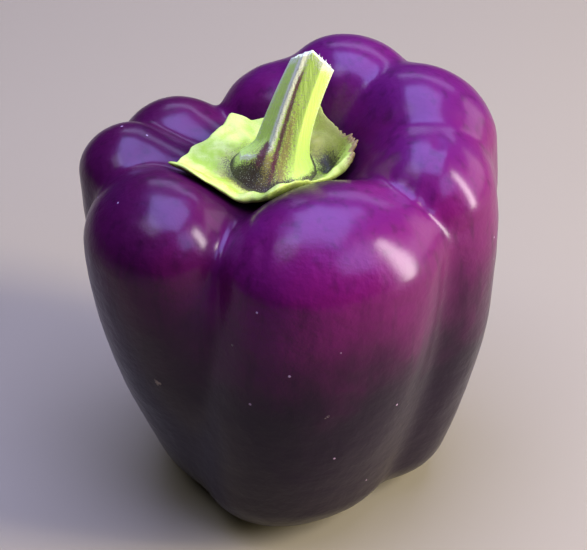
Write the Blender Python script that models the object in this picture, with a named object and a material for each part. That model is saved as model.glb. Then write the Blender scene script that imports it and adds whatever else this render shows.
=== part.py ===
"""A whole purple bell pepper that stands on the low tips of its lobes.

Three pieces, each a closed solid: the lobed fruit, the calyx (the green saucer of sepals in the sunken
top) and the ridged stem with its flared foot and slanting cut.

Metres, +Z up. The origin is on the floor, under the middle of the pepper. Angles round the fruit are
azimuths in degrees: 0 is the front (-Y) and 90 is the right-hand side (+X).
"""

import math
from dataclasses import dataclass

import bmesh
import bpy
import numpy as np

MM = 0.001

# Fruit: a ring of swollen shoulders that narrow to a ring of tips on the floor and, under the calyx,
# to a ring of roots.
SHOULDER_REACH = 29 * MM  # from the axis to the middle of a shoulder
SHOULDER_HEIGHT = 80 * MM  # from the floor to the middle of a shoulder
TIP_REACH = 19 * MM  # from the axis to the middle of a tip
BELLY_SWELL = 0.20  # how much wider the sides grow half way up, as a share
CREST_RISE = 20 * MM  # from the middle of a shoulder to the tallest crest
ROOT_REACH = 13 * MM  # from the axis to the middle of a root
ROOT_RADIUS = 6 * MM
ROOT_RISE = 1.0 * MM  # how far the top of a root stands above the sunken floor
GROOVE_SOFTNESS_TOP = 1.3 * MM  # how gently two lobes run together at the top
GROOVE_SOFTNESS_FOOT = 2.5 * MM  # the same, at the floor
PRESSED_DEPTH = 0.7 * MM  # how far the tips are pressed flat by the fruit's weight
BLEND_GROWTH = 1.0 * MM  # how far the tips grow downwards where they run together

# Flesh between the lobes, whose flat top is the floor of the sunken top.
HEART_SHORTFALL = 5.0 * MM  # how far it stops short of the middle of the shoulders
HEART_FOOT_RADIUS = 22 * MM
HEART_TOP_RISE = -0.5 * MM  # from the middle of the shoulders to the sunken floor
HEART_HOLLOW = 7 * MM  # how far its underside stays off the floor
HEART_EDGE = 12 * MM  # radius of its rounded edges
HEART_SOFTNESS = 1.5 * MM
HEART_FALL = 0.12  # how steeply the sunken floor falls to the front

# Calyx and stem, which share an axis a little to the left of the fruit's own.
STALK_PLACE = (-3.0 * MM, -1.0 * MM)
CALYX_GAP = 0.8 * MM  # between the fruit and the calyx, enough for the facets of both
STEM_GAP = 0.5 * MM  # between the calyx and the stem

CALYX_RADIUS = 15.5 * MM
CALYX_RIM_THICKNESS = 1.4 * MM
CALYX_MIDDLE_THICKNESS = 2.6 * MM
CALYX_RIM_LIFT = 0.8 * MM  # how far the rim curls up off the fruit
CALYX_CURL_POWER = 4  # how late towards the rim the curl starts
CALYX_POINT_WIDTH = 13.0  # degrees over which a point falls back to the rim

STEM_LENGTH = 28.5 * MM  # from the calyx to the middle of the cut
STEM_RADIUS = 5.3 * MM
STEM_CUT_RADIUS = 4.1 * MM
STEM_FOOT_RADIUS = 10.0 * MM
STEM_FOOT_FLARE = 0.18  # share of the length over which the foot narrows
STEM_LEAN = (8.5 * MM, 1.5 * MM)  # how far the cut end stands to the right and to the back
STEM_RIDGES = 6
STEM_RIDGE_DEPTH = 0.45 * MM
STEM_CUT_SLOPE = (-0.6, -0.4)  # fall of the cut to the right and to the back

# Rough apple from which the fruit's skin is settled.
APPLE_WALL = 12 * MM  # from the widest ring of shoulders to the apple's skin
APPLE_DENT_RADIUS = 22 * MM
APPLE_HOLLOW_RADIUS = 12 * MM
APPLE_ROUNDNESS_ACROSS = 0.8
APPLE_ROUNDNESS_UP = 0.6

# Linear colours and roughnesses.
FRUIT_COLOUR = (0.075, 0.006, 0.085)
FRUIT_ROUGHNESS = 0.18
CALYX_COLOUR = (0.45, 0.62, 0.13)
CALYX_ROUGHNESS = 0.55
STEM_COLOUR = (0.36, 0.55, 0.10)
STEM_ROUGHNESS = 0.5

# Fineness of the faceted solids.
FRUIT_SEGMENTS = 72
FRUIT_RINGS = 44
CALYX_SEGMENTS = 48
CALYX_RINGS = 18
STEM_SEGMENTS = 36
STEM_LEVELS = 11
SETTLE_STEPS = 30  # steps by which a point moves on to the skin
SETTLE_EASE = 0.85  # share of the measured distance moved at each step
SETTLE_ROUNDS = 3
SMOOTHING = 0.5  # share of the way to its neighbours that a point moves between rounds
ON_RIM = 0.001  # degrees off the level of the calyx's rim that still count as on it
LEAST_SUM = 1e-300  # keeps the logarithm finite far from every lobe


@dataclass(frozen=True)
class Lobe:
    """One swelling of the fruit: a round cone from its shoulder down to its tip, and one in to its root."""

    azimuth: float  # where its shoulder stands
    out: float  # how far its shoulder stands beyond SHOULDER_REACH
    up: float  # how far its shoulder stands above SHOULDER_HEIGHT
    radius: float
    breadth: float  # how much broader it is round the fruit than across
    tip_azimuth: float
    tip_out: float  # how far its tip stands beyond TIP_REACH
    tip_up: float  # how far its tip stays above the others
    tip_radius: float
    root_azimuth: float  # where its root stands


LOBES = {
    "front_right": Lobe(22, -5.5 * MM, -4.0 * MM, 15.5 * MM, 1.4, 7, 3.0 * MM, -0.8 * MM, 14.5 * MM, 38),
    "front_left": Lobe(-58, 1.0 * MM, -2.5 * MM, 13.0 * MM, 1.2, -56, -1.5 * MM, 0.3 * MM, 14 * MM, -46),
    "left": Lobe(-99, 4.5 * MM, 0.0 * MM, 9.0 * MM, 1.1, -95, -1.5 * MM, 0.6 * MM, 12 * MM, -92),
    "back_left": Lobe(-129, 1.5 * MM, -4.5 * MM, 10.5 * MM, 1.1, -130, -1.0 * MM, 0.3 * MM, 13 * MM, -130),
    "back": Lobe(180, -2.5 * MM, -1.0 * MM, 12.5 * MM, 1.1, -170, -1.0 * MM, 0.3 * MM, 13 * MM, 180),
    "back_right": Lobe(152, 0.5 * MM, 6.0 * MM, 13.5 * MM, 1.1, 150, 0.0 * MM, 0.0 * MM, 13 * MM, 150),
    "right_back": Lobe(114, 3.0 * MM, 5.0 * MM, 14.0 * MM, 1.15, 110, 3.0 * MM, 0.0 * MM, 13 * MM, 116),
    "right": Lobe(83, 0.5 * MM, 2.0 * MM, 12.5 * MM, 1.1, 74, 5.0 * MM, -0.6 * MM, 13 * MM, 84),
}

# Azimuth of each point of the calyx, and how far it stands beyond the rim.
CALYX_POINTS = {
    "front": (-16, 0.5 * MM),
    "front_right": (35, -4.0 * MM),
    "right": (100, 2.5 * MM),
    "back_right": (148, 3.5 * MM),
    "back_left": (-150, 4.5 * MM),
    "left": (-79, 8.0 * MM),
    "front_left": (-42, 1.0 * MM),
}


def heading(azimuth):
    """Unit vector that points out from the axis at an azimuth in degrees."""
    angle = math.radians(azimuth)
    return np.array([math.sin(angle), -math.cos(angle), 0.0])


def round_cone_distance(points, start, end, start_radius, end_radius):
    """Distance from points to the skin of the hull round two spheres; negative inside."""
    axis = end - start
    length_sq = axis @ axis
    taper = start_radius - end_radius
    slant_sq = length_sq - taper * taper
    offset = points - start
    along = offset @ axis
    beyond = along - length_sq
    across_sq = ((offset * length_sq - along[:, None] * axis) ** 2).sum(axis=1)
    along_sq = along * along * length_sq
    beyond_sq = beyond * beyond * length_sq
    edge = np.sign(taper) * taper * taper * across_sq
    past_end = np.sign(beyond) * slant_sq * beyond_sq > edge
    before_start = np.sign(along) * slant_sq * along_sq < edge
    to_end = np.sqrt(across_sq + beyond_sq) / length_sq - end_radius
    to_start = np.sqrt(across_sq + along_sq) / length_sq - start_radius
    to_side = (np.sqrt(across_sq * slant_sq / length_sq) + along * taper) / length_sq - start_radius
    return np.where(past_end, to_end, np.where(before_start, to_start, to_side))


def lobe_distance(points, lobe):
    """Distance from points to one lobe, measured as if it were no broader than it is deep."""
    sideways = heading(lobe.azimuth + 90)
    shoulder = heading(lobe.azimuth) * (SHOULDER_REACH + lobe.out)
    shoulder[2] = SHOULDER_HEIGHT + lobe.up
    tip = heading(lobe.tip_azimuth) * (TIP_REACH + lobe.tip_out)
    tip[2] = lobe.tip_radius + BLEND_GROWTH - PRESSED_DEPTH + lobe.tip_up
    root = heading(lobe.root_azimuth) * ROOT_REACH
    root[2] = SHOULDER_HEIGHT + HEART_TOP_RISE + ROOT_RISE - ROOT_RADIUS
    narrowing = 1 / lobe.breadth - 1
    points = points + ((points - shoulder) @ sideways * narrowing)[:, None] * sideways
    tip = tip + (tip - shoulder) @ sideways * narrowing * sideways
    root = root + (root - shoulder) @ sideways * narrowing * sideways
    outer = round_cone_distance(points, shoulder, tip, lobe.radius, lobe.tip_radius)
    inner = round_cone_distance(points, shoulder, root, lobe.radius, ROOT_RADIUS)
    return np.minimum(outer, inner)


def heart_distance(points):
    """Distance from points to the flesh between the lobes, a round-edged plug that widens upwards."""
    top = SHOULDER_HEIGHT + HEART_TOP_RISE
    share = np.clip((points[:, 2] - HEART_HOLLOW) / (top - HEART_HOLLOW), 0, 1)
    top_radius = SHOULDER_REACH - HEART_SHORTFALL
    radius = HEART_FOOT_RADIUS + (top_radius - HEART_FOOT_RADIUS) * share
    across = np.hypot(points[:, 0], points[:, 1]) - radius + HEART_EDGE
    level = points[:, 2] - HEART_FALL * points[:, 1]
    upright = np.abs(level - (top + HEART_HOLLOW) / 2) - (top - HEART_HOLLOW) / 2 + HEART_EDGE
    outside = np.hypot(np.maximum(across, 0), np.maximum(upright, 0))
    return outside + np.minimum(np.maximum(across, upright), 0) - HEART_EDGE


def skin_distance(points):
    """Distance from points to the fruit's skin; negative inside. All lobes run smoothly together."""
    height_share = np.clip(points[:, 2] / (SHOULDER_HEIGHT + CREST_RISE), 0, 1)
    swell = 1 + BELLY_SWELL * np.sin(math.pi * height_share)
    points = points / np.stack([swell, swell, np.ones_like(swell)], axis=1)
    softness = GROOVE_SOFTNESS_FOOT + (GROOVE_SOFTNESS_TOP - GROOVE_SOFTNESS_FOOT) * height_share
    total = sum(np.exp(-lobe_distance(points, lobe) / softness) for lobe in LOBES.values())
    lobes = -softness * np.log(np.maximum(total, LEAST_SUM))
    heart = heart_distance(points)
    nearer = np.minimum(lobes, heart)
    apart = np.abs(lobes - heart)
    return nearer - HEART_SOFTNESS * np.log1p(np.exp(-apart / HEART_SOFTNESS))


def skin_height(x, y, gap):
    """Height over each place (x, y) at which a point comes down to lie a gap above the skin."""
    height = np.full_like(x, SHOULDER_HEIGHT + 2 * CREST_RISE)
    for _ in range(2 * SETTLE_STEPS):
        distance = skin_distance(np.stack([x, y, height], axis=1)) - gap
        height = height - SETTLE_EASE * distance
    return height


def calyx_reach(azimuth):
    """Distance from the stalk's axis to the calyx's outline at each azimuth in degrees."""
    reach = np.full_like(azimuth, CALYX_RADIUS)
    for point_azimuth, point_reach in CALYX_POINTS.values():
        turn = np.abs((azimuth - point_azimuth + 180) % 360 - 180)
        reach = reach + point_reach * np.exp(-turn / CALYX_POINT_WIDTH)
    return reach


def calyx_faces(x, y):
    """Heights of the calyx's underside and top over each place (x, y) inside its outline."""
    from_stalk = np.hypot(x - STALK_PLACE[0], y - STALK_PLACE[1])
    azimuth = np.degrees(np.arctan2(x - STALK_PLACE[0], -(y - STALK_PLACE[1])))
    share = np.clip(from_stalk / calyx_reach(azimuth), 0, 1)
    under = skin_height(x, y, CALYX_GAP) + CALYX_RIM_LIFT * share**CALYX_CURL_POWER
    thinning = CALYX_MIDDLE_THICKNESS - CALYX_RIM_THICKNESS
    return under, under + CALYX_RIM_THICKNESS + thinning * (1 - share**2)


def positions(mesh):
    """The points of a bmesh as an array."""
    return np.array([vertex.co for vertex in mesh.verts])


def place(mesh, points):
    """Moves the points of a bmesh to the rows of an array."""
    for vertex, point in zip(mesh.verts, points):
        vertex.co = point
    mesh.normal_update()


def finish(name, mesh, colour, roughness, collection):
    """Makes a smooth-shaded object with its own material from a bmesh."""
    bmesh.ops.triangulate(mesh, faces=mesh.faces)
    bmesh.ops.recalc_face_normals(mesh, faces=mesh.faces)
    data = bpy.data.meshes.new(name)
    mesh.to_mesh(data)
    mesh.free()
    data.shade_smooth()
    material = bpy.data.materials.new(name + "_surface")
    material.use_nodes = True
    shader = material.node_tree.nodes["Principled BSDF"]
    shader.inputs["Base Color"].default_value = (*colour, 1.0)
    shader.inputs["Roughness"].default_value = roughness
    shader.inputs["Metallic"].default_value = 0.0
    data.materials.append(material)
    made = bpy.data.objects.new(name, data)
    collection.objects.link(made)
    return made


def settle_on_skin(mesh):
    """Moves each point of a bmesh along its normal until it lies on the fruit's skin."""
    start = positions(mesh)
    normals = np.array([vertex.normal for vertex in mesh.verts])
    travel = np.zeros(len(start))
    for _ in range(SETTLE_STEPS):
        travel -= SETTLE_EASE * skin_distance(start + normals * travel[:, None])
    place(mesh, start + normals * travel[:, None])


def apple(unit):
    """Points of a unit sphere, dented above and below into a rough apple of the fruit's size."""
    azimuth = np.arctan2(unit[:, 0], -unit[:, 1])
    crest = SHOULDER_HEIGHT + CREST_RISE
    half_width = SHOULDER_REACH * (1 + BELLY_SWELL) + APPLE_WALL
    reach = half_width * np.hypot(unit[:, 0], unit[:, 1]) ** APPLE_ROUNDNESS_ACROSS
    rise = np.sign(unit[:, 2]) * np.abs(unit[:, 2]) ** APPLE_ROUNDNESS_UP
    dent = (CREST_RISE - HEART_TOP_RISE) * np.exp(-((reach / APPLE_DENT_RADIUS) ** 2))
    hollow = HEART_HOLLOW * np.exp(-((reach / APPLE_HOLLOW_RADIUS) ** 2))
    height = crest / 2 * (1 + rise) + np.where(rise > 0, -dent, hollow)
    return np.stack([reach * np.sin(azimuth), -reach * np.cos(azimuth), height], axis=1)


def build_fruit(collection):
    """The fruit: an apple shape settled on to the lobed skin, then pressed flat below."""
    mesh = bmesh.new()
    bmesh.ops.create_uvsphere(
        mesh, u_segments=FRUIT_SEGMENTS, v_segments=FRUIT_RINGS, radius=1.0
    )
    place(mesh, apple(positions(mesh)))
    settle_on_skin(mesh)
    for _ in range(SETTLE_ROUNDS):
        bmesh.ops.smooth_vert(
            mesh,
            verts=mesh.verts,
            factor=SMOOTHING,
            use_axis_x=True,
            use_axis_y=True,
            use_axis_z=True,
        )
        mesh.normal_update()
        settle_on_skin(mesh)
    settled = positions(mesh)
    settled[:, 2] = np.maximum(settled[:, 2], 0.0)
    place(mesh, settled)
    return finish("fruit", mesh, FRUIT_COLOUR, FRUIT_ROUGHNESS, collection)


def build_calyx(collection):
    """The calyx: a flattened sphere whose lower half follows the sunken top of the fruit."""
    mesh = bmesh.new()
    bmesh.ops.create_uvsphere(
        mesh, u_segments=CALYX_SEGMENTS, v_segments=CALYX_RINGS, radius=1.0
    )
    unit = positions(mesh)
    azimuth = np.degrees(np.arctan2(unit[:, 0], -unit[:, 1]))
    polar = np.degrees(np.arccos(np.clip(unit[:, 2], -1, 1)))
    share = 1 - np.abs(polar - 90) / 90
    reach = calyx_reach(azimuth) * share
    x = STALK_PLACE[0] + reach * np.sin(np.radians(azimuth))
    y = STALK_PLACE[1] - reach * np.cos(np.radians(azimuth))
    under, top = calyx_faces(x, y)
    rim = np.abs(polar - 90) < ON_RIM
    height = np.where(rim, (under + top) / 2, np.where(polar < 90, top, under))
    place(mesh, np.stack([x, y, height], axis=1))
    return finish("calyx", mesh, CALYX_COLOUR, CALYX_ROUGHNESS, collection)


def build_stem(collection):
    """The stem: a ridged, leaning column whose foot flares on to the calyx."""
    mesh = bmesh.new()
    bmesh.ops.create_cone(
        mesh, cap_ends=True, segments=STEM_SEGMENTS, radius1=1.0, radius2=1.0, depth=1.0
    )
    uprights = [edge for edge in mesh.edges if edge.verts[0].co.z * edge.verts[1].co.z < 0]
    bmesh.ops.subdivide_edges(mesh, edges=uprights, cuts=STEM_LEVELS)
    caps = [face for face in mesh.faces if len(face.verts) == STEM_SEGMENTS]
    bmesh.ops.poke(mesh, faces=caps)
    unit = positions(mesh)
    level = unit[:, 2] + 0.5
    angle = np.arctan2(unit[:, 1], unit[:, 0])
    flare = (STEM_FOOT_RADIUS - STEM_RADIUS) * np.exp(-level / STEM_FOOT_FLARE)
    taper = (STEM_CUT_RADIUS - STEM_RADIUS) * level
    ridge = STEM_RIDGE_DEPTH * np.cos(STEM_RIDGES * angle)
    radius = (STEM_RADIUS + flare + taper + ridge) * np.hypot(unit[:, 0], unit[:, 1])
    right = radius * np.cos(angle)
    back = radius * np.sin(angle)
    seat = calyx_faces(STALK_PLACE[0] + right, STALK_PLACE[1] + back)[1] + STEM_GAP
    middle = calyx_faces(np.array([STALK_PLACE[0]]), np.array([STALK_PLACE[1]]))[1][0]
    cut = middle + STEM_LENGTH + STEM_CUT_SLOPE[0] * right + STEM_CUT_SLOPE[1] * back
    x = STALK_PLACE[0] + STEM_LEAN[0] * level + right
    y = STALK_PLACE[1] + STEM_LEAN[1] * level + back
    place(mesh, np.stack([x, y, seat + (cut - seat) * level], axis=1))
    return finish("stem", mesh, STEM_COLOUR, STEM_ROUGHNESS, collection)


def centre_on_origin(pieces):
    """Slides all pieces together so that the middle of their box is over the origin."""
    points = [vertex.co for piece in pieces for vertex in piece.data.vertices]
    middle = [(min(p[i] for p in points) + max(p[i] for p in points)) / 2 for i in range(2)]
    for piece in pieces:
        for vertex in piece.data.vertices:
            vertex.co.x -= middle[0]
            vertex.co.y -= middle[1]


def main():
    """Clears the scene and builds the pepper."""
    for old in list(bpy.data.objects):
        bpy.data.objects.remove(old, do_unlink=True)
    collection = bpy.data.collections.new("bell_pepper")
    bpy.context.scene.collection.children.link(collection)
    pieces = [build_fruit(collection), build_calyx(collection), build_stem(collection)]
    centre_on_origin(pieces)


main()
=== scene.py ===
"""A whole purple bell pepper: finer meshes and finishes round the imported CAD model.

The fruit, the calyx (the green saucer of sepals in the sunken top) and the stem are each made again,
finer than their CAD solids and in the same place. Torn fibres are added round the stem's cut end.

Metres, +Z up. Angles round the fruit are azimuths in degrees: 0 is the front (-Y) and 90 is the
right-hand side (+X). Shapes are worked out round the fruit's own axis and then slid on to the frame.
"""

import logging
import math
import random
from dataclasses import dataclass, field
from enum import Enum

import bmesh
import bpy
import numpy as np
from mathutils import Matrix, Vector, noise


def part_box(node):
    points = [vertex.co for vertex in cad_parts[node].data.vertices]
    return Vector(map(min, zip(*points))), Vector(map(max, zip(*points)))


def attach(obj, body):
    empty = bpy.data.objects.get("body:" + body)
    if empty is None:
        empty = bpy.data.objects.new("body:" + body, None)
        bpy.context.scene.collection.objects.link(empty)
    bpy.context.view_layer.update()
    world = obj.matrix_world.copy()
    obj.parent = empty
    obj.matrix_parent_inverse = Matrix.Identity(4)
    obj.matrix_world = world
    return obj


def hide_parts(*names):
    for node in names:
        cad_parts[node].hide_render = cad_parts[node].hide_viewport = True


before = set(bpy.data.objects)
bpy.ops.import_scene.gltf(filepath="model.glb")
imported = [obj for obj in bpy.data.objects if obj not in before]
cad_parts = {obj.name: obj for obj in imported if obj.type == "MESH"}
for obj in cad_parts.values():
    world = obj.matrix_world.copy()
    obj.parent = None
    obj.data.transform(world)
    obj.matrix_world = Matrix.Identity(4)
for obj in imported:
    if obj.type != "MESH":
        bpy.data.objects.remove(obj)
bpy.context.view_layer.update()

MM = 0.001
STALK_PLACE = (-3.0 * MM, -1.0 * MM)  # where the stalk grows, beside the fruit's own axis
BODY = "root"
LOG = logging.getLogger("bell_pepper")

Points = np.ndarray
Values = np.ndarray


class Slot(Enum):
    """The record's material slots."""

    SKIN = "pepper_skin"
    CALYX = "calyx_green"
    STEM = "stem_green"


# ---------------------------------------------------------------- small tools


def heading(azimuth: float) -> Points:
    """Unit vector that points out from the axis at an azimuth in degrees."""
    angle = math.radians(azimuth)
    return np.array([math.sin(angle), -math.cos(angle), 0.0])


def azimuth_of(x: Values, y: Values) -> Values:
    """Azimuth in degrees of places (x, y) seen from the origin."""
    return np.degrees(np.arctan2(x, -y))


def turn_between(azimuth: Values, other: float) -> Values:
    """Signed turn in degrees from one azimuth to each of the others, from -180 to 180."""
    return (azimuth - other + 180) % 360 - 180


def bump(turn: Values, width: float) -> Values:
    """A round bump: 1 where turn is 0 and nearly 0 beyond twice its width."""
    return np.exp(-((turn / width) ** 2))


def ease(value: Values, start: float, end: float) -> Values:
    """0 before start and 1 after end, with a smooth rise between; start may be above end."""
    share = np.clip((value - start) / (end - start), 0, 1)
    return share * share * (3 - 2 * share)


def rough(points: Points, grain: float | tuple[float, float, float], octaves: int = 1) -> Values:
    """Smooth noise from about -1 to 1 at each point.

    Args:
        points: rows of x, y and z.
        grain: size of the noise's lumps, or its sizes along x, y and z.
        octaves: how many times finer noise, half as strong, is added.

    Returns:
        One value for each point.
    """
    total = np.zeros(len(points))
    for octave in range(octaves):
        scaled = points / np.asarray(grain) * 2**octave + 17.3 * octave
        total += np.array([noise.noise(Vector(row)) for row in scaled]) / 2**octave
    return total


def positions(mesh: bmesh.types.BMesh) -> Points:
    """The points of a bmesh as an array."""
    return np.array([vertex.co for vertex in mesh.verts])


def normals_of(mesh: bmesh.types.BMesh) -> Points:
    """The point normals of a bmesh as an array."""
    mesh.normal_update()
    return np.array([vertex.normal for vertex in mesh.verts])


def place(mesh: bmesh.types.BMesh, points: Points) -> None:
    """Moves the points of a bmesh to the rows of an array.

    Args:
        mesh: the bmesh.
        points: the new place of each of its points.
    """
    for vertex, point in zip(mesh.verts, points):
        vertex.co = point
    mesh.normal_update()


def sphere(segments: int, rings: int) -> bmesh.types.BMesh:
    """A unit sphere with its poles on the Z axis.

    Args:
        segments: its faces round the equator.
        rings: its faces from pole to pole.

    Returns:
        A new bmesh.
    """
    mesh = bmesh.new()
    bmesh.ops.create_uvsphere(mesh, u_segments=segments, v_segments=rings, radius=1.0)
    return mesh


def finish(
    name: str,
    mesh: bmesh.types.BMesh,
    material: bpy.types.Material,
    marks: dict[str, Values] | None = None,
) -> bpy.types.Object:
    """Makes a smooth-shaded piece of the object from a bmesh.

    Args:
        name: the piece's name.
        mesh: its shape in the frame; it is freed.
        material: its finish.
        marks: named values at each point, which the finish reads as attributes.

    Returns:
        The piece, which rides on the one body.
    """
    bmesh.ops.recalc_face_normals(mesh, faces=mesh.faces)
    data = bpy.data.meshes.new(name)
    mesh.to_mesh(data)
    mesh.free()
    data.shade_smooth()
    data.materials.append(material)
    for mark, values in (marks or {}).items():
        attribute = data.attributes.new(mark, "FLOAT", "POINT")
        attribute.data.foreach_set("value", np.asarray(values, np.float32))
    piece = bpy.data.objects.new(name, data)
    bpy.context.scene.collection.objects.link(piece)
    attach(piece, BODY)
    LOG.info("%s: %d faces", name, len(data.polygons))
    return piece


# ---------------------------------------------------------------- finishes


def linear(colour: str) -> tuple[float, float, float, float]:
    """Turns an sRGB colour linear.

    Args:
        colour: a hex value such as #7F2E7C.

    Returns:
        Red, green, blue and an alpha of 1.
    """
    channels = [int(colour[i : i + 2], 16) / 255 for i in (1, 3, 5)]
    straight = [c / 12.92 if c <= 0.04045 else ((c + 0.055) / 1.055) ** 2.4 for c in channels]
    return (*straight, 1.0)


ADD, SUBTRACT, MULTIPLY = ({"operation": name} for name in ("ADD", "SUBTRACT", "MULTIPLY"))
SMOOTH = {"interpolation_type": "SMOOTHSTEP"}
COLOURS = {"data_type": "RGBA"}
UNDER, OVER, BLENDED = 6, 7, 2  # a colour mix's two inputs and its output


class Finish:
    """A material under construction: its node tree and its Principled shader."""

    EDGE = 0.7  # how slowly a mark's colour sets in

    def __init__(self, name: str) -> None:
        """Starts a material with that name.

        Args:
            name: the material's name.
        """
        self.material = bpy.data.materials.new(name)
        self.material.use_nodes = True
        self.tree = self.material.node_tree
        self.shader = self.tree.nodes["Principled BSDF"]

    def add(
        self,
        kind: str,
        settings: dict[str, object] | None = None,
        inputs: dict[str | int, object] | None = None,
        output: str | int = 0,
    ) -> bpy.types.NodeSocket:
        """Adds a node.

        Args:
            kind: the node's type, without its ShaderNode prefix.
            settings: its properties.
            inputs: a value, a hex colour or another node's output for each named or numbered input.
            output: the output that is wanted.

        Returns:
            That output's socket.
        """
        made = self.tree.nodes.new("ShaderNode" + kind)
        for name, value in (settings or {}).items():
            setattr(made, name, value)
        self.feed(made, inputs or {})
        return made.outputs[output]

    def feed(self, made: bpy.types.Node, inputs: dict[str | int, object]) -> None:
        """Links or sets a node's inputs.

        Args:
            made: the node.
            inputs: a value, a hex colour or another node's output for each input.
        """
        for name, value in inputs.items():
            if isinstance(value, bpy.types.NodeSocket):
                self.tree.links.new(value, made.inputs[name])
            else:
                made.inputs[name].default_value = linear(value) if isinstance(value, str) else value

    def coated(self, tone: object, coats: tuple[tuple[str, object], ...]) -> bpy.types.NodeSocket:
        """Lays colours over a tone, one after another.

        Args:
            tone: the colour under them.
            coats: each colour, and how much it hides, from 0 to 1.

        Returns:
            The colour with all of them on it.
        """
        for colour, cover in coats:
            tone = self.add("Mix", COLOURS, {"Factor": cover, UNDER: tone, OVER: colour}, BLENDED)
        return tone

    def marked(
        self,
        tone: object,
        coats: tuple[tuple[str, str, float], ...],
        patchy: object,
        start: float,
    ) -> bpy.types.NodeSocket:
        """Lays the colours of the mesh's marks over a tone, each broken up by noise at its edge.

        Args:
            tone: the colour under them.
            coats: for each mark its name, its colour and how much it hides.
            patchy: the noise.
            start: the sum of mark and noise at which a colour starts to show.

        Returns:
            The colour with all the marks on it.
        """
        for mark, colour, cover in coats:
            strength = self.add("Attribute", {"attribute_name": mark}, output="Fac")
            broken = self.add("Math", ADD, {0: strength, 1: patchy})
            limits = {"Value": broken, "From Min": start, "From Max": start + self.EDGE}
            spread = self.add("MapRange", SMOOTH, limits)
            tone = self.coated(tone, ((colour, self.add("Math", MULTIPLY, {0: spread, 1: cover})),))
        return tone

    def embossed(self, reliefs: tuple[tuple[object, float], ...]) -> bpy.types.NodeSocket:
        """Lays bumps one on another.

        Args:
            reliefs: each relief, from 0 to 1, and its depth in metres.

        Returns:
            The bent normal.
        """
        bent = None
        for height, depth in reliefs:
            inputs = {"Height": height, "Distance": depth, "Strength": 1.0}
            if bent is not None:
                inputs["Normal"] = bent
            bent = self.add("Bump", None, inputs)
        return bent

    def tissue(self, tone: object, bumps: object, roughness: float, glow: float) -> bpy.types.Material:
        """Sets the shader to matt green plant tissue, which lets a little light through.

        Args:
            tone: its colour.
            bumps: its bent normal.
            roughness: how matt it is.
            glow: the share of the light that spreads inside it.

        Returns:
            The finished material.
        """
        inputs = {
            "Base Color": tone,
            "Roughness": roughness,
            "IOR": 1.42,
            "Specular IOR Level": 0.3,
            "Subsurface Weight": glow,
            "Subsurface Radius": (0.9, 1.0, 0.3),
            "Subsurface Scale": 1.2 * MM,
            "Normal": bumps,
        }
        self.feed(self.shader, inputs)
        return self.material


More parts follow.
